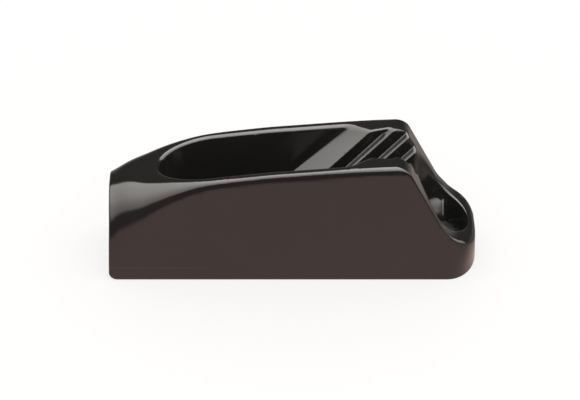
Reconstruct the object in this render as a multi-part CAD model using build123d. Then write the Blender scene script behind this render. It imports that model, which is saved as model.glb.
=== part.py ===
from build123d import *
import math
import os

# Rope jam cleat with integral fairlead, and its two fixing screws.
# Millimetres. +X runs from the fairlead nose to the tail, +Z is up,
# Y = 0 is the symmetry plane, Z = 0 is the mounting face and the origin
# is the middle of that face.

# ---------------------------------------------------------------- dimensions
LENGTH = 82.0            # overall length of the casting
WIDTH = 21.0             # overall width, at the mounting face
DRAFT = 0.5 / 30         # mould draft of the long sides
HALF_L = LENGTH / 2
HALF_W = WIDTH / 2

# working sizes of the tool shapes, all clear of the finished surfaces
BELOW_BASE_Z = -1.0      # shapes that pass through the mounting face start here
TOOL_HALF_Y = 30.0       # half thickness of shapes drawn in side view
TOOL_H = 40.0            # height of the pocket and recess cutters

# outer shape: x, crown height, then how far the rounded shoulder reaches
# across (along Y) and down (along Z)
CROWN = [
    (-42.0, 20.2, 9.3, 17.7),
    (-40.0, 21.3, 9.1, 17.0),
    (-38.0, 22.2, 8.3, 15.2),
    (-36.0, 22.75, 7.1, 12.7),
    (-34.0, 23.1, 6.0, 9.9),
    (-32.0, 23.55, 5.0, 8.0),
    (-30.0, 24.05, 4.05, 6.5),
    (-28.0, 24.55, 3.25, 5.4),
    (-26.0, 25.0, 2.55, 4.5),
    (-24.0, 25.4, 1.95, 3.7),
    (-22.0, 25.8, 1.45, 3.1),
    (-20.0, 26.15, 1.1, 2.7),
    (-18.0, 26.45, 0.9, 2.4),
    (-14.0, 27.0, 0.75, 2.2),
    (-10.0, 27.5, 0.7, 2.15),
    (-5.0, 28.1, 0.7, 2.2),
    (0.0, 28.55, 0.7, 2.3),
    (8.0, 29.25, 0.7, 2.2),
    (14.0, 29.75, 0.75, 2.0),
    (20.0, 30.15, 0.85, 1.8),
    (24.0, 30.3, 0.9, 1.6),
    (32.0, 30.4, 1.0, 1.6),
    (44.0, 30.5, 1.0, 1.6),
]

# plan outline
PLAN_HALF_W = HALF_W + 0.06   # clears the drafted sides
PLAN_H = 45.0
NOSE_CORNER = 0.6        # plan radius of the nose corners
TOE_LEN = 6.5            # length of the rounded toe in plan
TOE_FULL = 2.4           # fullness of the toe: 2 is an ellipse, more is squarer
TOE_STEP = 15            # degrees between points on the toe curve

# side outline of the tail: steep slope, then a slanting toe
SHOULDER_X0 = 21.0       # start of the level crown ahead of the slope
SLOPE_TOP_X = 25.1       # where the slope meets the crown
SLOPE_TOP_Z = 30.3
SLOPE_BOT_X = 33.0       # foot of the steep slope
SLOPE_BOT_Z = 14.4
TOE_X = 36.0             # where the toe top starts
TOE_Z = 11.15
TOE_END_Z = 8.5          # height of the toe top at the tail end
SHOULDER_R = 3.2         # rounding of the crown into the slope
HEEL_R = 5.0             # radius at the foot of the slope
TOE_R = 6.0              # radius at the start of the toe top
SIDE_X0 = -60.0          # the outline starts well ahead of the nose
SIDE_TOP_Z = 40.0        # and clears the lofted crown
SIDE_STEP_X = SHOULDER_X0 - 6   # where it steps down to just above the crown
SIDE_STEP_Z = SLOPE_TOP_Z + 0.5
TAIL_OVERRUN = 3.0       # how far it runs past the tail

# open pocket behind the fairlead
POCKET_X0 = -29.8        # rounded end of the pocket
POCKET_NOSE = 12.0       # length of its half-elliptic end
POCKET_HALF = 7.75       # half width
POCKET_FLOOR = 6.0       # top of the floor above the mounting face
POCKET_RIM = 0.8         # rounding of the rim
RIM_MIN_Z = 22.5         # rim edges all lie above this height

# gripping vee
VEE_X0 = 13.7            # top of the lead-in ramp
VEE_RAKE = 44.0          # slope of the ramp and ribs, degrees from horizontal
VEE_REF_Z = 30.5         # height at which x and the top half width are measured
VEE_HALF_TOP = 5.1       # half width over the rib crests at VEE_REF_Z
VEE_HALF_BOT = 1.1       # half width at the height VEE_ROOT_NOSE
VEE_ROOT_NOSE = 10.0     # height of the root line at VEE_X0
VEE_ROOT_TAIL = 19.0     # height of the root line at VEE_ROOT_TAIL_X
VEE_ROOT_TAIL_X = 26.0
VEE_STATIONS = (-20.0, 34.0)   # x of the end sections of the vee cutter
VEE_MIN_ROOT = POCKET_FLOOR + 0.5
VEE_TOP_Z = VEE_REF_Z + 10     # top of the vee cutter
RIB_X0 = 18.0            # first crest, at VEE_REF_Z
RIB_PITCH = 5.1
RIB_COUNT = 3
RIB_DEPTH = 1.25
RIB_VALLEY = 0.78        # valley position as a fraction of the pitch
GROOVE_TOP_Z = VEE_REF_Z + 3   # top of the groove and lead-in cutters
GROOVE_BOT_Z = 12.0      # bottom of the groove cutters
GROOVE_OVERLAP = 1.0     # how far they reach into the vee
GROOVE_ROOT_GAP = 0.6    # grooves stop this far above the root line
LEAD_OVERLAP = 1.5       # how far the lead-in cutter reaches into the pocket

# fairlead bore
BORE_R = 4.5
BORE_Z = 11.0            # height of its axis
BORE_CUT = 20.0          # length of the cutter
BORE_OVERRUN = 1.0       # it starts this far ahead of the nose
BORE_MOUTH = 2.2         # bell-mouth radius

# screw holes, counterbore and recess
HOLE_R = 2.75            # clearance hole for an M5 screw
HOLE_CUT = POCKET_FLOOR + 6
SCREW_FRONT_X = -19.0
SCREW_REAR_X = 33.1
RECESS_A = 6.3           # rear recess, half length along X
RECESS_B = 7.4           # rear recess, half width along Y
SEAT_Z = 3.2             # seats of both screw heads
FRONT_BORE_R = 5.0       # counterbore of the front screw
FRONT_BORE_CUT = 10.0
DISH_R = 4.7             # counterbore of the rear screw, inside the recess
DISH_Z = 6.2             # height of its edge
DISH_RISE = 1.6          # steepness of the dished shelf outside it
DISH_SPAN = 4.0          # radial width of the shelf before trimming
DISH_END = 34.6          # the shelf ends here, towards the toe

# M5 pan-head screws
SCREW_R = 2.5            # radius over the thread crests
NECK_R = 2.24            # plain neck under the head
HEAD_R = 4.5
HEAD_H = 3.0
HEAD_ROUND = 1.3         # rounding of the top edge of the head
NECK_BELOW = 0.5         # the neck ends this far below the mounting face
SCREW_TAIL = 12.0        # length of shank below the mounting face
TIP_CHAMFER = 0.6
DRIVE_LEN = 4.8          # cross recess, length of each slot
DRIVE_WIDTH = 1.1
DRIVE_DEPTH = 1.6
DRIVE_CUT = 4.0          # height of the slot cutter

# ---------------------------------------------------------------- helpers
RAKE_TAN = math.tan(math.radians(VEE_RAKE))
ROOT_SLOPE = (VEE_ROOT_TAIL - VEE_ROOT_NOSE) / (VEE_ROOT_TAIL_X - VEE_X0)
WALL_SLOPE = (VEE_HALF_TOP - VEE_HALF_BOT) / (VEE_REF_Z - VEE_ROOT_NOSE)
BASE_ALIGN = (Align.CENTER, Align.CENTER, Align.MIN)


def cross_plane(x):
    """Plane across the cleat, with Y to its right and Z up."""
    return Plane(origin=(x, 0, 0), x_dir=(0, 1, 0), z_dir=(1, 0, 0))


def polygon_face(plane, *points):
    return (plane * Polygon(*points, align=None)).faces()[0]


def side_prism(*points):
    """Block with the given (x, z) outline, spanning the full width."""
    return extrude(Plane.XZ * Polygon(*points, align=None), amount=TOOL_HALF_Y, both=True)


def upright(x, z, radius, height):
    """Vertical cylinder on the symmetry plane, standing on height z."""
    return Pos(x, 0, z) * Cylinder(radius, height, align=BASE_ALIGN)


def half_width(z):
    """Half width of the drafted body at height z."""
    return HALF_W - DRAFT * z


def raked_x(x, z):
    """x at height z of a raked line that passes x at VEE_REF_Z."""
    return x - (VEE_REF_Z - z) / RAKE_TAN


def root_z(x):
    """Height of the vee's root line."""
    return VEE_ROOT_NOSE + (x - VEE_X0) * ROOT_SLOPE


def vee_half(z):
    """Half width of the vee at height z."""
    return VEE_HALF_TOP - WALL_SLOPE * (VEE_REF_Z - z)


def try_fillet(shape, edges, radius):
    """Round edges, stepping the radius down if the corner is too tight."""
    for factor in (1.0, 0.85, 0.7, 0.5, 0.3):
        # guards against a radius the kernel cannot build on these edges
        try:
            rounded = fillet(edges, radius * factor)
            if rounded.is_valid and len(rounded.solids()) == 1:
                return rounded
        except Exception:
            pass
    return shape


# ---------------------------------------------------------------- outer shape
def crown_section(x, crown, across, down):
    """Closed outline of the outer shape in the plane at x."""
    shoulder_z = crown - down
    shoulder_y = half_width(shoulder_z)
    base_y = half_width(BELOW_BASE_Z)
    arc_y = shoulder_y - across
    with BuildSketch(cross_plane(x)) as sketch:
        with BuildLine():
            Line((-base_y, BELOW_BASE_Z), (base_y, BELOW_BASE_Z))
            Line((base_y, BELOW_BASE_Z), (shoulder_y, shoulder_z))
            EllipticalCenterArc((arc_y, shoulder_z), across, down, start_angle=0, arc_size=90)
            Line((arc_y, crown), (-arc_y, crown))
            EllipticalCenterArc((-arc_y, shoulder_z), across, down, start_angle=90, arc_size=90)
            Line((-shoulder_y, shoulder_z), (-base_y, BELOW_BASE_Z))
        make_face()
    return sketch.sketch.faces()[0]


def toe_point(angle):
    """Point of the superelliptic toe, in plan."""
    cosine, sine = math.cos(angle), math.sin(angle)
    return (HALF_L - TOE_LEN + TOE_LEN * abs(cosine) ** (2 / TOE_FULL),
            math.copysign(PLAN_HALF_W * abs(sine) ** (2 / TOE_FULL), sine))


def plan_block():
    """Plan outline with rounded nose corners and toe, pulled up from the base."""
    toe_x = HALF_L - TOE_LEN
    toe_points = [toe_point(math.radians(a)) for a in range(-90, 91, TOE_STEP)]
    with BuildSketch(Plane.XY) as sketch:
        with BuildLine():
            Line((toe_x, -PLAN_HALF_W), (-HALF_L, -PLAN_HALF_W))
            Line((-HALF_L, -PLAN_HALF_W), (-HALF_L, PLAN_HALF_W))
            Line((-HALF_L, PLAN_HALF_W), (toe_x, PLAN_HALF_W))
            Spline(*toe_points, tangents=[(1, 0), (-1, 0)])
        make_face()
    block = extrude(sketch.sketch, amount=PLAN_H)
    nose_edges = [e for e in block.edges().filter_by(Axis.Z) if e.center().X < -HALF_L + 1]
    return fillet(nose_edges, NOSE_CORNER)


def side_block():
    """Side outline that shapes the tail slope and toe."""
    end_x = HALF_L + TAIL_OVERRUN
    end_z = TOE_END_Z - TAIL_OVERRUN * (TOE_Z - TOE_END_Z) / (HALF_L - TOE_X)
    with BuildSketch(Plane.XZ) as sketch:
        with BuildLine():
            Polyline((SIDE_X0, BELOW_BASE_Z), (SIDE_X0, SIDE_TOP_Z),
                     (SIDE_STEP_X, SIDE_TOP_Z), (SIDE_STEP_X, SIDE_STEP_Z),
                     (SHOULDER_X0, SLOPE_TOP_Z), (SLOPE_TOP_X, SLOPE_TOP_Z),
                     (SLOPE_BOT_X, SLOPE_BOT_Z), (TOE_X, TOE_Z), (end_x, end_z),
                     (end_x, BELOW_BASE_Z), (SIDE_X0, BELOW_BASE_Z))
        make_face()
    face = sketch.sketch.faces()[0]
    for x, z, radius in ((SLOPE_TOP_X, SLOPE_TOP_Z, SHOULDER_R),
                         (SLOPE_BOT_X, SLOPE_BOT_Z, HEEL_R),
                         (TOE_X, TOE_Z, TOE_R)):
        corner = [v for v in face.vertices() if abs(v.X - x) < 0.01 and abs(v.Z - z) < 0.01]
        face = face.fillet_2d(radius, corner)
    return extrude(face, amount=TOOL_HALF_Y, both=True)


# ---------------------------------------------------------------- pocket and vee
def pocket_cutter():
    """Pocket with a half-elliptic nose end; its tail end follows the ramp."""
    arc_x = POCKET_X0 + POCKET_NOSE
    end_x = VEE_X0 + 12
    with BuildSketch(Plane.XY.offset(POCKET_FLOOR)) as sketch:
        with BuildLine():
            EllipticalCenterArc((arc_x, 0), POCKET_NOSE, POCKET_HALF,
                                start_angle=90, arc_size=180)
            Line((arc_x, -POCKET_HALF), (end_x, -POCKET_HALF))
            Line((end_x, -POCKET_HALF), (end_x, POCKET_HALF))
            Line((end_x, POCKET_HALF), (arc_x, POCKET_HALF))
        make_face()
    ramp_run, ramp_drop = 60, 40
    ramp_end_x, ramp_low_z = VEE_X0 + ramp_run, VEE_REF_Z - ramp_drop
    ramp = side_prism((ramp_end_x, ramp_run * RAKE_TAN + VEE_REF_Z),
                      (raked_x(VEE_X0, ramp_low_z), ramp_low_z),
                      (ramp_end_x, ramp_low_z))
    return extrude(sketch.sketch, amount=TOOL_H) - ramp


def vee_section(x):
    root = max(root_z(x), VEE_MIN_ROOT)
    low, high = vee_half(root), vee_half(VEE_TOP_Z)
    return polygon_face(cross_plane(x), (-low, root), (low, root),
                        (high, VEE_TOP_Z), (-high, VEE_TOP_Z))


def lead_section(z):
    """Level section of the lead-in, from the pocket walls to the first crests."""
    half = vee_half(z)
    ramp_x, crest_x = raked_x(VEE_X0, z), raked_x(RIB_X0, z)
    return polygon_face(
        Plane.XY.offset(z),
        (ramp_x - LEAD_OVERLAP, -POCKET_HALF), (ramp_x, -POCKET_HALF), (crest_x, -half),
        (crest_x, half), (ramp_x, POCKET_HALF), (ramp_x - LEAD_OVERLAP, POCKET_HALF))


def lead_cutter():
    """Twisted facets of the lead-in, kept above the root line."""
    below_root = side_prism((-30, root_z(-30)), (50, root_z(50)), (50, -30), (-30, -60))
    sections = [lead_section(POCKET_FLOOR), lead_section(GROOVE_TOP_Z)]
    return loft(sections, ruled=True) - below_root


def groove_cutters():
    """Raked grooves that leave the ribs on both walls of the vee."""
    above_root = side_prism((-30, root_z(-30) + GROOVE_ROOT_GAP),
                            (50, root_z(50) + GROOVE_ROOT_GAP), (50, 60), (-30, 60))
    drop = GROOVE_TOP_Z - GROOVE_BOT_Z
    crest_y = vee_half(GROOVE_TOP_Z)
    inner_y = crest_y - GROOVE_OVERLAP
    cutters = []
    for side in (-1, 1):
        for i in range(RIB_COUNT):
            start_x = raked_x(RIB_X0 + i * RIB_PITCH, GROOVE_TOP_Z)
            end_x = start_x + RIB_PITCH
            face = polygon_face(
                Plane.XY.offset(GROOVE_TOP_Z),
                (start_x, side * crest_y),
                (start_x + RIB_VALLEY * RIB_PITCH, side * (crest_y + RIB_DEPTH)),
                (end_x, side * crest_y), (end_x, side * inner_y), (start_x, side * inner_y))
            along = Vector(-1 / RAKE_TAN, -side * WALL_SLOPE, -1)
            groove = extrude(face, amount=drop * along.length, dir=along)
            cutters.append(groove & above_root)
    return cutters


# ---------------------------------------------------------------- recess
def recess_cutter():
    """Elliptic rear recess, less the dished shelf around the screw counterbore."""
    recess = extrude(
        Plane.XY.offset(SEAT_Z) * Location((SCREW_REAR_X, 0)) * Ellipse(RECESS_A, RECESS_B),
        amount=TOOL_H)
    outer_r = DISH_R + DISH_SPAN
    shelf = revolve(Plane.XZ * Polygon(
        (DISH_R, SEAT_Z - 1), (DISH_R, DISH_Z),
        (outer_r, DISH_Z + DISH_SPAN * DISH_RISE), (outer_r, SEAT_Z - 1),
        align=None), axis=Axis.Z)
    shelf = Pos(SCREW_REAR_X, 0, 0) * shelf
    keep_len = 60
    shelf = shelf & (Pos(DISH_END - keep_len / 2, 0, 0) * Box(keep_len, 40, 60))
    return recess - shelf


# ---------------------------------------------------------------- cleat body
def is_rim_edge(edge):
    """True for the top edges of the pocket, up to the ramp."""
    box = edge.bounding_box()
    return (box.min.X > POCKET_X0 - 0.5 and box.max.X < VEE_X0 + 1.0
            and box.min.Z > RIM_MIN_Z
            and max(abs(box.min.Y), abs(box.max.Y)) < POCKET_HALF + 0.1)


def cleat_body():
    body = loft([crown_section(*station) for station in CROWN]) & plan_block() & side_block()

    vee = loft([vee_section(x) for x in VEE_STATIONS], ruled=True)
    front_seat = upright(SCREW_FRONT_X, SEAT_Z, FRONT_BORE_R, FRONT_BORE_CUT)
    bore_start = Plane(origin=(-HALF_L - BORE_OVERRUN, 0, BORE_Z), z_dir=(1, 0, 0))
    bore = bore_start * Cylinder(BORE_R, BORE_CUT, align=BASE_ALIGN)
    holes = [upright(x, BELOW_BASE_Z, HOLE_R, HOLE_CUT) for x in (SCREW_FRONT_X, SCREW_REAR_X)]
    cutters = [pocket_cutter(), lead_cutter(), vee, recess_cutter(), front_seat, bore]
    for cutter in cutters + groove_cutters() + holes:
        body = body - cutter
    # drop any loose slivers
    body = max(body.solids(), key=lambda s: s.volume)

    body = try_fillet(body, [e for e in body.edges() if is_rim_edge(e)], POCKET_RIM)
    mouth = [e for e in body.edges().filter_by(GeomType.CIRCLE)
             if abs(e.center().X + HALF_L) < 0.05]
    body = try_fillet(body, mouth, BORE_MOUTH).solids()[0]
    body.label = "cleat_body"
    return body


# ---------------------------------------------------------------- screws
def pan_screw(x):
    shank = upright(x, -SCREW_TAIL, SCREW_R, SCREW_TAIL - NECK_BELOW)
    shank += upright(x, -NECK_BELOW, NECK_R, NECK_BELOW + SEAT_Z)
    head = upright(x, SEAT_Z, HEAD_R, HEAD_H)
    head = fillet(head.edges().group_by(Axis.Z)[-1], HEAD_ROUND)
    screw = shank + head
    for angle in (0, 90):
        slot = Box(DRIVE_LEN, DRIVE_WIDTH, DRIVE_CUT, align=BASE_ALIGN)
        screw = screw - Pos(x, 0, SEAT_Z + HEAD_H - DRIVE_DEPTH) * Rot(0, 0, angle) * slot
    screw = chamfer(screw.edges().group_by(Axis.Z)[0], TIP_CHAMFER)
    return screw.solids()[0]


os.makedirs("parts", exist_ok=True)
export_step(cleat_body(), "parts/cleat_body.step")
screws = [pan_screw(x) for x in (SCREW_FRONT_X, SCREW_REAR_X)]
export_step(Compound(children=screws), "parts/fixing_screws.step")
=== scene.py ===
# Rope jam cleat: a glossy black moulding on blackened screws, standing on a pale floor.
# x runs along the cleat, y across it (centred on 0), z up from the base at 0. The front (-x) end
# has the fairlead bore and the open pocket; the ribbed vee narrows towards the tail (+x) end.
# The body is one smooth surface built from a distance field, with every edge rounded.
# Lengths are in mm unless multiplied by MM, which turns them into Blender's metres.
import bpy
import math
import numpy as np
import openvdb as vdb
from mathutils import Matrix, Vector


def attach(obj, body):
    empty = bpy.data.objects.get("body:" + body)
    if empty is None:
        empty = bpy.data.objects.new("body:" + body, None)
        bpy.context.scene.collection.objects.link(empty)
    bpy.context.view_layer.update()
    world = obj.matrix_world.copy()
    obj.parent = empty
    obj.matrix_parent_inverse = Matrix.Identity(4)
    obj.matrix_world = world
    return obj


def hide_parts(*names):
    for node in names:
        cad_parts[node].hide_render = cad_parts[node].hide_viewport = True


MM = 0.001


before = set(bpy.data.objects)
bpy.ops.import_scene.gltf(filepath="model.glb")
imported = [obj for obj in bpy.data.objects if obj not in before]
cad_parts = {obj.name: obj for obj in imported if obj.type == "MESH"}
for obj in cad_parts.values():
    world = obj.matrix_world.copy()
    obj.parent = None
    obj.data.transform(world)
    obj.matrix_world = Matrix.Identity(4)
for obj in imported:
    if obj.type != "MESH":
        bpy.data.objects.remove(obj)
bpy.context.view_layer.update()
scene = bpy.context.scene

# ------------------------------------------------------------------ dimensions
# outer shape
HALF_L, HALF_W = 41.0, 10.5
# x, height of the crown, then how far its rounded edge reaches across and down
CROWN = np.array([
    (-42.0, 20.2, 9.3, 17.7), (-40.0, 21.3, 9.1, 17.0), (-38.0, 22.2, 8.3, 15.2),
    (-36.0, 22.75, 7.1, 12.7), (-34.0, 23.1, 6.0, 9.9), (-32.0, 23.55, 5.0, 8.0),
    (-30.0, 24.05, 4.05, 6.5), (-28.0, 24.55, 3.25, 5.4), (-26.0, 25.0, 2.55, 4.5),
    (-24.0, 25.4, 1.95, 3.7), (-22.0, 25.8, 1.45, 3.1), (-20.0, 26.15, 1.1, 2.7),
    (-18.0, 26.45, 0.9, 2.4), (-14.0, 27.0, 0.75, 2.2), (-10.0, 27.5, 0.7, 2.15),
    (-5.0, 28.1, 0.7, 2.2), (0.0, 28.55, 0.7, 2.3), (8.0, 29.25, 0.7, 2.2),
    (14.0, 29.75, 0.75, 2.0), (20.0, 30.15, 0.85, 1.8), (24.0, 30.3, 0.9, 1.6),
    (32.0, 30.4, 1.0, 1.6), (44.0, 30.5, 1.0, 1.6)])
TOP_Z = 30.4                       # the crown is held below this
# x, rise of the crown's middle above its sides
CAMBER = [
    (-42.0, 0.0), (-36.0, 0.05), (-30.0, 0.15), (-24.0, 0.28), (-16.0, 0.35),
    (-8.0, 0.2), (0.0, 0.08), (10.0, 0.0), (44.0, 0.0)]
CAMBER_HALF = 9.0                  # half width over which the camber falls to nothing
CAMBER_SMOOTH = 1.5
DRAFT, DRAFT_TOP = 0.5 / 30, 31    # mould draft of the sides
END_FLARE, END_FLARE_Z = 0.4, 14.0  # both ends spread by this at the base, from this height
TOE_LEN = 6.5                      # rounded part of the plan at the tail
TAIL = [(25.1, 30.3), (33.0, 14.4), (36.0, 11.15), (41.0, 8.5)]   # x, z: slope, heel, toe top
SHOULDER_R, HEEL_R, TOE_R = 2.3, 0.45, 0.45
NOSE_BASE_R, NOSE_R = 1.9, 0.3

# changes along an axis: new value, where the change starts, where it ends
TOE_FULLNESS, TOE_FULLNESS_Z = 2.12, [(2.85, 0.0, 9.0)]   # superellipse exponent, over z
LIP_R = 0.85
EDGE_ACROSS_X = [(0.3, 22.0, 26.0), (LIP_R, 33.8, 36.2)]
EDGE_DOWN_X = [(0.3, 23.0, 27.0), (LIP_R, 33.8, 36.2)]

# pocket
POCKET_X0, POCKET_NOSE, POCKET_HALF, POCKET_FLOOR = -29.8, 12.0, 7.75, 6.0
POCKET_X1 = POCKET_X0 + POCKET_NOSE   # end of the rounded front of the plan
LEAD_R, CAVITY_R, FLOOR_R = 0.12, 0.4, 1.0

# ribbed vee, leaning at RAKE; half widths at REF_Z and at the root
VEE_X0, RAKE = 13.7, math.radians(44.0)
VEE_TOP, VEE_BOT, REF_Z = 5.1, 1.1, 30.5
RAKE_Z = 33.5                      # height at which raked places equal x
SHIFT = (RAKE_Z - REF_Z) / math.tan(RAKE)
RAKE_STRETCH = 2.07                # squared slope gain of a raked profile
ROOT_NOSE, ROOT_TAIL, ROOT_X1 = 10.0, 19.0, 26.0   # root height at VEE_X0 and at ROOT_X1
RIB_X0, RIB_PITCH, RIB_COUNT, RIB_DEPTH = 18.0, 5.1, 3, 1.25
RIB_VALLEY = 0.78                  # place of the valley, as a share of the pitch
RIB_SMOOTH = 0.16
RIB_ROOT_FADE = 0.3, 1.6           # ribs grow between these heights above the root
RIB_TOP_FADE, RIB_TOP_LOSS = (-1.6, 0.2), 0.45   # and shrink by a share near the crown
LEAD_END = 1.5                     # reach of the lead-in facets, in lengths up to the first rib

# fairlead bore through the front end
BORE_R, BORE_Z, BORE_X1 = 4.5, 11.0, -24.0
BORE_MOUTH, BORE_MOUTH_X = 2.2, [(0.5, -36.0, -33.0)]

# screw holes, seats and tail recess
HOLE_R, SCREW_FRONT_X, SCREW_REAR_X = 2.75, -19.0, 33.1
RECESS_A, RECESS_B, RECESS_FLOOR_R = 6.3, 7.4, 0.8
SEAT_Z, FRONT_SEAT_R, SEAT_EDGE_R = 3.2, 5.0, 0.5
SEAT_HEADROOM = 3                  # the front seat is cut up to this far above the pocket floor
DISH_R, DISH_Z, DISH_RISE, DISH_END = 4.7, 6.2, 1.6, 34.6
DISH_EDGE_R, DISH_BLEND_R = 0.5, 0.6

# edge radius of the openings in the top, as changes along x
OPENING_JOIN_R, SEAT_RIM_R = 0.45, 0.3
RIM_R = 1.1
RIM_FRONT_X = [(0.85, POCKET_X0 - 0.5, POCKET_X0 + 5), (0.55, 12.0, 16.0)]
RIM_SLOPE_R, RIM_SLOPE_X, RIM_SLOPE_Z = 0.9, (24.0, 28.0), (-27.0, -22.0)   # z range is in -z
RIM_TOE_X = [(0.6, 35.5, 38.0)]


# ------------------------------------------------------------------ small field toolkit
# A field is negative inside its region and grows like a distance outside it.
def meet(a, b, radius):
    """Intersection of two regions with its edge rounded."""
    u = np.maximum(a + radius, 0)
    v = np.maximum(b + radius, 0)
    return np.minimum(np.maximum(a, b), -radius) + np.sqrt(u * u + v * v)


def join(a, b, radius):
    """Union of two regions with its corner filled."""
    return -meet(-a, -b, radius)


def cut(a, b, radius):
    """Region a less region b, with its edge rounded."""
    return meet(a, -b, radius)


def meet_elliptic(a, b, reach_a, reach_b):
    """As meet, with an elliptic edge reaching back reach_a from a and reach_b from b."""
    u = np.maximum(a / reach_a + 1, 0)
    v = np.maximum(b / reach_b + 1, 0)
    q = np.minimum(np.maximum(a / reach_a, b / reach_b), -1) + np.sqrt(u * u + v * v)
    uu, vv = u * u + 1e-9, v * v + 1e-9
    return q * (uu * reach_a + vv * reach_b) / (uu + vv)


def step(x, start, end):
    t = np.clip((x - start) / (end - start), 0, 1)
    return t * t * (3 - 2 * t)


def mix(a, b, t):
    return a + (b - a) * t


def along(x, value, changes):
    """Carry value through a list of (new value, start, end) changes."""
    for target, start, end in changes:
        value = mix(value, target, step(x, start, end))
    return value


def ellipse(x, y, a, b):
    k0 = np.sqrt((x / a) ** 2 + (y / b) ** 2) + 1e-6
    k1 = np.sqrt((x / a ** 2) ** 2 + (y / b ** 2) ** 2) + 1e-6
    return k0 * (k0 - 1) / k1


def superellipse(x, y, a, b, n):
    p, q = np.abs(x) / a + 1e-6, np.abs(y) / b + 1e-6
    k = (p ** n + q ** n) ** (1 / n)
    slope = np.sqrt((p ** (n - 1) / a) ** 2 + (q ** (n - 1) / b) ** 2) * k ** (1 - n)
    return (k - 1) / np.maximum(slope, 1e-4)


def spline(xs, ys, q):
    """Natural cubic through the points (xs, ys), read at q."""
    n = len(xs)
    h = np.diff(xs)
    system = np.eye(n)
    rhs = np.zeros(n)
    for i in range(1, n - 1):
        system[i, i - 1:i + 2] = h[i - 1], 2 * (h[i - 1] + h[i]), h[i]
        rhs[i] = 6 * ((ys[i + 1] - ys[i]) / h[i] - (ys[i] - ys[i - 1]) / h[i - 1])
    m = np.linalg.solve(system, rhs)
    i = np.clip(np.searchsorted(xs, q) - 1, 0, n - 2)
    d0, d1 = xs[i + 1] - q, q - xs[i]
    return (m[i] * d0 ** 3 + m[i + 1] * d1 ** 3) / (6 * h[i]) \
        + (ys[i] / h[i] - m[i] * h[i] / 6) * d0 + (ys[i + 1] / h[i] - m[i + 1] * h[i] / 6) * d1


def smooth_table(q, values, sigma):
    """Gaussian blur of a table with even spacing q, its ends held."""
    dq = q[1] - q[0]
    offsets = np.arange(-int(4 * sigma / dq), int(4 * sigma / dq) + 1) * dq
    weights = np.exp(-0.5 * (offsets / sigma) ** 2)
    weights /= weights.sum()
    pad = len(offsets) // 2
    padded = np.concatenate([np.full(pad, values[0]), values, np.full(pad, values[-1])])
    return np.convolve(padded, weights, "valid")


# ------------------------------------------------------------------ lookup tables
STATION_X = np.linspace(CROWN[0, 0], CROWN[-1, 0], 2000)
CROWN_Z, EDGE_ACROSS, EDGE_DOWN = (
    spline(CROWN[:, 0], CROWN[:, column], STATION_X) for column in (1, 2, 3))
CROWN_SLOPE = np.gradient(CROWN_Z, STATION_X)
CAMBER_RISE = smooth_table(STATION_X, np.interp(STATION_X, *np.array(CAMBER).T), CAMBER_SMOOTH)


def rib_profile(q):
    """Saw-tooth widening of the vee along the raked direction, crests and valleys rounded."""
    turns = (q - (RIB_X0 + SHIFT)) / RIB_PITCH
    part = turns - np.floor(turns)
    rise, fall = part / RIB_VALLEY, (1 - part) / (1 - RIB_VALLEY)
    depth = np.where(part < RIB_VALLEY, rise, fall) * RIB_DEPTH
    depth[(turns < 0) | (turns > RIB_COUNT)] = 0
    return smooth_table(q, depth, RIB_SMOOTH)


RIB_Q = np.arange(10.0, 50.0, 0.01)
RIB_GAP = rib_profile(RIB_Q)
RIB_SLOPE = np.gradient(RIB_GAP, RIB_Q)


# ------------------------------------------------------------------ body shape
def outer_shape(x, ay, z, crown):
    """Body without its openings; ay is the distance from the middle plane."""
    camber = np.interp(x, STATION_X, CAMBER_RISE)
    slope = np.interp(x, STATION_X, CROWN_SLOPE)
    top = (z - crown - camber * (1 - np.minimum(ay / CAMBER_HALF, 1.1) ** 2)) \
        / np.sqrt(1 + slope * slope)
    flare = END_FLARE * np.clip(1 - z / END_FLARE_Z, 0, 1)
    half = HALF_W - DRAFT * np.clip(z, 0, DRAFT_TOP)
    toe_x = x - (HALF_L - TOE_LEN)
    fullness = along(z, TOE_FULLNESS, TOE_FULLNESS_Z)
    toe = superellipse(np.maximum(toe_x, 0), ay, TOE_LEN + flare, half, fullness)
    side = np.where(toe_x > 0, toe, ay - half)

    def line(p, q):
        length = math.hypot(q[0] - p[0], q[1] - p[1])
        return ((x - p[0]) * (p[1] - q[1]) + (z - p[1]) * (q[0] - p[0])) / length

    tail = join(line(TAIL[0], TAIL[1]), line(TAIL[1], TAIL[2]), HEEL_R)
    tail = join(tail, line(TAIL[2], TAIL[3]), TOE_R)
    profile = meet(top, tail, SHOULDER_R)
    across = along(x, np.interp(x, STATION_X, EDGE_ACROSS), EDGE_ACROSS_X)
    down = along(x, np.interp(x, STATION_X, EDGE_DOWN), EDGE_DOWN_X)
    solid = meet_elliptic(side, profile, across, down)
    nose = meet(-HALF_L - flare - x, -z, NOSE_BASE_R)
    return meet(solid, nose, NOSE_R)


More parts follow.
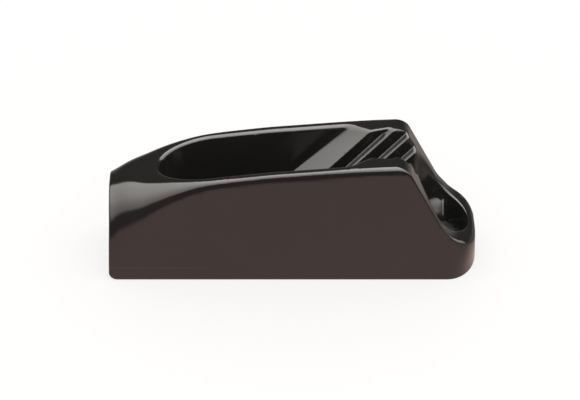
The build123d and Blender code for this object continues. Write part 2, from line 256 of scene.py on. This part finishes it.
def main_cavity(x, ay, z, crown):
    """One opening: pocket, lead-in facets and the ribbed vee."""
    raked_x = x + (RAKE_Z - z) / math.tan(RAKE)
    vee_x = raked_x - VEE_X0 - SHIFT
    lead_len = RIB_X0 - VEE_X0
    lean = (VEE_TOP - VEE_BOT) / (REF_Z - ROOT_NOSE)
    vee_half = VEE_TOP - lean * (REF_Z - z)
    root_slope = (ROOT_TAIL - ROOT_NOSE) / (ROOT_X1 - VEE_X0)
    root_z = ROOT_NOSE + (x - VEE_X0) * root_slope
    root = (root_z - z) / math.hypot(1, root_slope)

    low, high = RIB_ROOT_FADE
    fade = step(z, root_z + low, root_z + high)
    low, high = RIB_TOP_FADE
    fade = fade * (1 - RIB_TOP_LOSS * step(z, crown + low, crown + high))
    gap = np.interp(raked_x, RIB_Q, RIB_GAP) * fade
    gap_slope = np.interp(raked_x, RIB_Q, RIB_SLOPE) * fade
    ribs = (ay - vee_half - gap) \
        / np.sqrt(1 + lean * lean + gap_slope * gap_slope * RAKE_STRETCH)

    narrowing = (POCKET_HALF - vee_half) / lead_len
    lead = (ay - POCKET_HALF + narrowing * vee_x) \
        / np.sqrt(1 + narrowing * narrowing * RAKE_STRETCH)
    wall = np.where(vee_x / lead_len < LEAD_END, join(lead, ribs, LEAD_R), ribs)
    rounded = ellipse(np.minimum(x - POCKET_X1, 0), ay, POCKET_NOSE, POCKET_HALF)
    plan = np.where(x < POCKET_X1, rounded, ay - POCKET_HALF)
    return meet(meet(plan, wall, CAVITY_R), np.maximum(POCKET_FLOOR - z, root), FLOOR_R)


def tail_recess(x, y, z, rear):
    """Oval screw recess in the tail, with a conical dish in its floor; rear is from the screw."""
    dish = (DISH_Z - z + DISH_RISE * (rear - DISH_R)) / math.hypot(1, DISH_RISE)
    recess = meet(ellipse(x - SCREW_REAR_X, y, RECESS_A, RECESS_B), SEAT_Z - z, RECESS_FLOOR_R)
    bank = meet(-dish, meet(DISH_R - rear, x - DISH_END, DISH_EDGE_R), DISH_EDGE_R)
    return cut(recess, bank, DISH_BLEND_R)


def body_field(x, y, z):
    """Field of the whole moulded body."""
    ay = np.abs(y)
    crown = np.minimum(np.interp(x, STATION_X, CROWN_Z), TOP_Z)
    front = np.sqrt((x - SCREW_FRONT_X) ** 2 + y * y)
    rear = np.sqrt((x - SCREW_REAR_X) ** 2 + y * y)
    seat = meet(front - FRONT_SEAT_R, SEAT_Z - z, SEAT_EDGE_R)
    seat = np.maximum(seat, z - (POCKET_FLOOR + SEAT_HEADROOM))
    bore = np.maximum(np.sqrt(y * y + (z - BORE_Z) ** 2) - BORE_R, x - BORE_X1)
    openings = join(main_cavity(x, ay, z, crown), tail_recess(x, y, z, rear), OPENING_JOIN_R)

    rim = along(x, RIM_R, RIM_FRONT_X)
    rim = mix(rim, RIM_SLOPE_R, step(x, *RIM_SLOPE_X) * step(-z, *RIM_SLOPE_Z))
    rim = along(x, rim, RIM_TOE_X)
    solid = cut(outer_shape(x, ay, z, crown), openings, rim)
    solid = cut(solid, seat, SEAT_RIM_R)
    solid = cut(solid, bore, along(x, BORE_MOUTH, BORE_MOUTH_X))
    return np.maximum(solid, -np.minimum(front, rear) + HOLE_R)


# ------------------------------------------------------------------ field to mesh
def sample_field(field, low, high, voxel, slab=16):
    """Field values on an even grid, worked out a slab at a time to save memory."""
    counts = [int(math.ceil((high[i] - low[i]) / voxel)) + 1 for i in range(3)]
    xs, ys, zs = ((low[i] + voxel * np.arange(counts[i])).astype(np.float32) for i in range(3))
    volume = np.empty(counts, np.float32)
    Y, Z = np.meshgrid(ys, zs, indexing="ij")
    for a in range(0, counts[0], slab):
        column = xs[a:a + slab][:, None, None]
        X = np.broadcast_to(column, (column.shape[0],) + Y.shape)
        volume[a:a + slab] = field(X, np.broadcast_to(Y, X.shape), np.broadcast_to(Z, X.shape))
    return volume


def gradient(field, points, reach):
    result = np.empty_like(points)
    for i in range(3):
        d = np.zeros(3)
        d[i] = reach
        result[:, i] = (field(*(points + d).T) - field(*(points - d).T)) / (2 * reach)
    return result


def field_mesh(name, field, low, high, voxel, adaptivity):
    """Polygonise a field, then pull every vertex onto its surface and take normals from it."""
    band = 4 * voxel
    grid = vdb.FloatGrid(band)
    grid.copyFromArray(np.clip(sample_field(field, low, high, voxel), -band, band))
    points, tris, quads = grid.convertToPolygons(isovalue=0.0, adaptivity=adaptivity)
    points = np.asarray(points, float) * voxel + np.array(low)

    for _ in range(4):
        value = field(*points.T)
        slope = gradient(field, points, 0.02)
        move = -(value / np.maximum((slope * slope).sum(1), 0.05))[:, None] * slope
        length = np.linalg.norm(move, axis=1)
        points = points + move * np.minimum(1, 0.6 * voxel / np.maximum(length, 1e-9))[:, None]
    slope = gradient(field, points, 0.03)
    normals = slope / np.maximum(np.linalg.norm(slope, axis=1), 1e-9)[:, None]

    mesh = bpy.data.meshes.new(name)
    faces = [tuple(map(int, face)) for face in (*tris, *quads)]
    mesh.from_pydata((points * MM).tolist(), [], faces)
    mesh.update()
    first = mesh.polygons[0]
    outward = np.mean([normals[v] for v in first.vertices], axis=0)
    if float(np.dot(np.array(first.normal), outward)) < 0:
        mesh.flip_normals()
        mesh.update()
    mesh.polygons.foreach_set("use_smooth", np.ones(len(mesh.polygons), bool))
    mesh.normals_split_custom_set_from_vertices(normals.tolist())
    mesh.update()
    return add_object(name, mesh)


def add_object(name, data):
    ob = bpy.data.objects.new(name, data)
    scene.collection.objects.link(ob)
    return ob


# ------------------------------------------------------------------ shader toolkit
class Shader:
    """Node tree of a material or world. An input given as a socket is linked, else it is set."""

    def __init__(self, owner, output):
        owner.use_nodes = True
        self.tree = owner.node_tree
        self.tree.nodes.clear()
        self.output = self.node(output)

    def node(self, kind, inputs=None, **settings):
        node = self.tree.nodes.new("ShaderNode" + kind)
        for key, value in settings.items():
            setattr(node, key, value)
        self.fill(node, inputs or {})
        return node

    def fill(self, node, inputs):
        for key, value in inputs.items():
            if isinstance(value, bpy.types.NodeSocket):
                self.tree.links.new(value, node.inputs[key])
            else:
                node.inputs[key].default_value = value

    def finish(self, surface):
        self.fill(self.output, {0: surface.outputs[0]})

    def math(self, operation, *values):
        return self.node("Math", dict(enumerate(values)), operation=operation).outputs[0]

    def product(self, result, *factors):
        for factor in factors:
            result = self.math("MULTIPLY", result, factor)
        return result

    def ramp(self, factor, stops):
        """Colour ramp from (position, grey or RGB) stops."""
        node = self.node("ValToRGB", {0: factor})
        elements = node.color_ramp.elements
        stops = [(at, (*(c if isinstance(c, tuple) else (c,) * 3), 1)) for at, c in stops]
        elements[0].position, elements[0].color = stops[0]
        elements[1].position, elements[1].color = stops[-1]
        for position, color in stops[1:-1]:
            elements.new(position).color = color
        return node.outputs[0]

    def fade(self, value, zero_at, one_at):
        inputs = {"Value": value, "From Min": zero_at, "From Max": one_at}
        return self.node("MapRange", inputs).outputs[0]

    def noise(self, coords, scale, detail=2.0, roughness=0.5, stretch=None, distortion=0.0):
        if stretch:
            coords = self.node("Mapping", {0: coords, "Scale": stretch}).outputs[0]
        return self.node("TexNoise", {
            "Vector": coords, "Scale": scale, "Detail": detail,
            "Roughness": roughness, "Distortion": distortion}).outputs["Fac"]

    def mix_color(self, factor, a, b, **settings):
        return self.node("Mix", {0: factor, 6: a, 7: b}, data_type="RGBA", **settings).outputs[2]

    def bump(self, height, strength, distance):
        return self.node("Bump", {
            "Height": height, "Strength": strength, "Distance": distance}).outputs[0]


# ------------------------------------------------------------------ materials
def plastic():
    """Glossy near-black moulding: fine orange peel, flow marks, scuffs, a raised parting line
    with a painted highlight, and a faint painted glow.
    """
    mat = bpy.data.materials.new("moulded_plastic")
    sh = Shader(mat, "OutputMaterial")
    surface = sh.node("BsdfPrincipled")
    coords = sh.node("TexCoord").outputs["Object"]
    cloud = sh.noise(coords, scale=60, detail=4, roughness=0.55)
    flow = sh.noise(coords, scale=45, detail=3, stretch=(0.35, 2.2, 2.2), distortion=0.6)
    base = sh.ramp(cloud, [(0.3, (0.0112, 0.0086, 0.0082)), (0.7, (0.0140, 0.0108, 0.0102))])

    # mould parting line, raised, and a hair lighter as a painted highlight along it: height and
    # half thickness, fading in towards the front, on the outer sides only
    x, y, z = sh.node("SeparateXYZ", {0: coords}).outputs
    offset = sh.math("ABSOLUTE", sh.math("SUBTRACT", z, 3.4 * MM))
    line = sh.math("SUBTRACT", 1.0, sh.math("DIVIDE", offset, 0.16 * MM))
    line = sh.math("MAXIMUM", line, 0.0)
    forward = sh.fade(x, zero_at=-16 * MM, one_at=-26 * MM)
    ay = sh.math("ABSOLUTE", y)
    line = sh.product(line, forward, sh.math("GREATER_THAN", ay, 9.6 * MM))
    # painted highlight: the parting line is coloured a hair lighter than the moulding
    color = sh.mix_color(line, base, (0.036, 0.028, 0.026, 1))

    # roughness: overall polish with flow marks, then hairline scuffs
    polish = sh.ramp(flow, [(0.25, 0.085), (0.75, 0.125)])
    scuff = sh.noise(coords, scale=900, detail=2, roughness=0.4, stretch=(0.06, 1.0, 1.0))
    scuff = sh.ramp(scuff, [(0.68, 0), (0.76, 1)])
    rough = sh.math("MULTIPLY_ADD", scuff, 0.035, polish)

    # the pocket floor and the tail recess keep a duller face, and their reflections are dimmed as
    # painted shade; the underside is left out
    underside = 0.5 * MM
    pocket = sh.product(
        sh.fade(z, zero_at=8.5 * MM, one_at=6.5 * MM),
        sh.math("LESS_THAN", ay, 7.8 * MM),
        sh.math("LESS_THAN", sh.math("ABSOLUTE", x), 30 * MM),
        sh.math("GREATER_THAN", z, underside))
    dx = sh.math("SUBTRACT", x, SCREW_REAR_X * MM)
    squares = sh.math("ADD", sh.math("MULTIPLY", dx, dx), sh.math("MULTIPLY", ay, ay))
    recess = sh.product(
        sh.fade(sh.math("SQRT", squares), zero_at=7.0 * MM, one_at=6.0 * MM),
        sh.fade(z, zero_at=11.5 * MM, one_at=9.5 * MM),
        sh.math("GREATER_THAN", z, underside))
    rough = sh.math("MULTIPLY_ADD", pocket, 0.5, rough)
    rough = sh.math("MULTIPLY_ADD", recess, 0.16, rough)
    # painted shade: the specular level drops in the pocket and the recess, darkening them
    painted_shade_loss = sh.math("ADD", sh.math("MULTIPLY", pocket, 0.42), sh.math("MULTIPLY", recess, 0.22))
    specular = sh.math("SUBTRACT", 0.5, painted_shade_loss)

    # bump: orange peel over long soft waves, with the parting line raised
    peel = sh.noise(coords, scale=1500)
    wave = sh.noise(coords, scale=120, roughness=0.4, stretch=(0.5, 1.0, 1.0))
    height = sh.math("MULTIPLY_ADD", wave, 6.0, sh.math("MULTIPLY", peel, 0.45))
    height = sh.math("MULTIPLY_ADD", line, 1.2, height)
    sh.fill(surface, {
        "Base Color": color, "Roughness": rough, "Specular IOR Level": specular, "IOR": 1.5,
        # painted glow: a faint greenish emission lifts the shade in the hollows towards neutral
        "Emission Color": (0.85, 1.0, 0.93, 1), "Emission Strength": 0.0035,
        "Normal": sh.bump(height, strength=0.35, distance=0.000008)})
    sh.finish(surface)
    return mat


def black_steel():
    """Blackened steel of the fixing screws, mottled, with a fine grain."""
    mat = bpy.data.materials.new("blackened_steel")
    sh = Shader(mat, "OutputMaterial")
    surface = sh.node("BsdfPrincipled", {"Metallic": 0.55})
    coords = sh.node("TexCoord").outputs["Object"]
    mottle = sh.noise(coords, scale=700, detail=5)
    color = sh.ramp(mottle, [
        (0.3, (0.010, 0.010, 0.011)), (0.62, (0.017, 0.016, 0.017)), (0.8, (0.05, 0.047, 0.045))])
    rough = sh.ramp(mottle, [(0.3, 0.34), (0.75, 0.5)])
    grain = sh.noise(coords, scale=4000)
    sh.fill(surface, {
        "Base Color": color, "Roughness": rough,
        "Normal": sh.bump(grain, strength=0.4, distance=0.00002)})
    sh.finish(surface)
    return mat


def floor_material():
    """Pale glowing sheet, with a painted reflection: a separate look for the rays reflected off
    the cleat.
    """
    mat = bpy.data.materials.new("floor_sheet")
    sh = Shader(mat, "OutputMaterial")
    diffuse = sh.node("BsdfDiffuse", {"Color": (0.32, 0.32, 0.32, 1)})
    glow = sh.node("Emission", {"Color": (1.0, 0.995, 0.985, 1), "Strength": 0.70})
    plain = sh.node("AddShader", {0: diffuse.outputs[0], 1: glow.outputs[0]})

    # painted reflection: to the cleat the sheet shows warm near it, greyer past its tail and on
    # the +y side
    dark_painted_reflection = sh.node("Emission", {"Color": (0.05, 0.045, 0.04, 1), "Strength": 1.0})
    x, y, _ = sh.node("SeparateXYZ", {0: sh.node("NewGeometry").outputs["Position"]}).outputs
    past_tail = sh.fade(x, zero_at=41 * MM, one_at=58 * MM)
    behind = sh.fade(y, zero_at=-8 * MM, one_at=4 * MM)
    away = sh.math("MAXIMUM", past_tail, behind)
    tint = sh.mix_color(away, (0.93, 0.645, 0.60, 1), (0.46, 0.40, 0.36, 1))
    strength = sh.ramp(sh.fade(y, zero_at=-100 * MM, one_at=100 * MM), [
        (0.0, 1), (0.49, 1), (0.55, 0.5), (0.65, 0.5), (0.72, 1.05), (1.0, 1.05)])
    warm_painted_reflection = sh.node("Emission", {"Color": tint, "Strength": strength})

    # painted reflection: to the cleat the sheet turns dark a little way off on the -y side
    _, y, _ = sh.node("SeparateXYZ", {0: sh.node("NewGeometry").outputs["Position"]}).outputs
    beyond = sh.fade(y, zero_at=-55 * MM, one_at=-85 * MM)
    glossy_ray = sh.node("LightPath").outputs["Is Glossy Ray"]
    seen = sh.node("MixShader", {0: beyond, 1: warm_painted_reflection.outputs[0], 2: dark_painted_reflection.outputs[0]})
    sh.finish(sh.node("MixShader", {0: glossy_ray, 1: plain.outputs[0], 2: seen.outputs[0]}))
    mat.cycles.emission_sampling = "NONE"
    return mat


# ------------------------------------------------------------------ studio light
def studio():
    """World: even soft light, but a long overhead light box in reflections."""
    world = bpy.data.worlds.new("studio")
    scene.world = world
    sh = Shader(world, "OutputWorld")
    coords = sh.node("TexCoord").outputs["Generated"]
    x, y, z = sh.node("SeparateXYZ", {0: coords}).outputs

    # angle round the x axis: 0 at the -y horizon, 90 overhead, 180 at the +y horizon
    radians = sh.math("ARCTAN2", z, sh.math("MULTIPLY", y, -1.0))
    degrees = sh.math("MULTIPLY", radians, 180 / math.pi)
    box = sh.ramp(sh.math("DIVIDE", degrees, 180.0), [
        (0.000, 0.05), (0.030, 0.05), (0.056, (3.3, 3.2, 3.1)), (0.14, (5.4, 5.2, 5.0)),
        (0.24, (8.0, 7.7, 7.4)), (0.36, (9.4, 9.1, 8.8)), (0.56, (9.4, 9.1, 8.7)),
        (0.645, (8.6, 8.3, 7.9)), (0.685, 0.32), (0.76, 0.14), (0.90, 0.12), (1.0, 0.5)])
    # the box dims towards both of its ends along x
    falloff = sh.ramp(sh.math("ABSOLUTE", x), [
        (0.0, 1), (0.15, 0.97), (0.5, 0.66), (0.85, 0.52), (0.97, 0.35)])
    color = sh.mix_color(1.0, box, falloff, blend_type="MULTIPLY")
    glossy_ray = sh.node("LightPath").outputs["Is Glossy Ray"]
    gloss = sh.node("Background", {0: color})
    soft = sh.node("Background", {"Color": (1.0, 0.99, 0.97, 1), "Strength": 1.0})
    sh.finish(sh.node("MixShader", {0: glossy_ray, 1: soft.outputs[0], 2: gloss.outputs[0]}))
    world.cycles.sampling_method = "NONE"


# ------------------------------------------------------------------ camera
def camera():
    """Long lens on the -y side, looking down at the middle of the cleat."""
    elevation = math.radians(36.0)
    distance = 0.6545
    target = Vector((0, 0, 0.014))
    data = bpy.data.cameras.new("camera")
    cam = add_object("camera", data)
    direction = Vector((0, -math.cos(elevation), math.sin(elevation)))
    cam.location = target + direction * distance
    cam.rotation_euler = (math.radians(90) - elevation, 0, 0)
    data.sensor_width = 36.0
    data.lens = 180.5742931
    data.shift_x = -0.0049137931
    data.shift_y = 0.0037931034
    data.clip_start = 0.01
    scene.camera = cam


# ------------------------------------------------------------------ build
body = field_mesh(
    "cleat_body_skin", body_field, low=(-42.0, -11.0, -1.0), high=(42.0, 11.0, 31.6),
    voxel=0.22, adaptivity=0.02)
body.data.materials.append(plastic())
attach(body, "root")
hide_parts("cleat_body")

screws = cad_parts["fixing_screws"]
screws.data.materials.clear()
screws.data.materials.append(black_steel())

FLOOR_HALF = 3.0   # metres
floor_mesh = bpy.data.meshes.new("floor")
floor_mesh.from_pydata(
    [(sx * FLOOR_HALF, sy * FLOOR_HALF, 0) for sx, sy in ((-1, -1), (1, -1), (1, 1), (-1, 1))],
    [], [(0, 1, 2, 3)])
floor = add_object("floor", floor_mesh)
floor.data.materials.append(floor_material())

studio()
camera()
scene.view_settings.view_transform = "Standard"
scene.view_settings.look = "None"
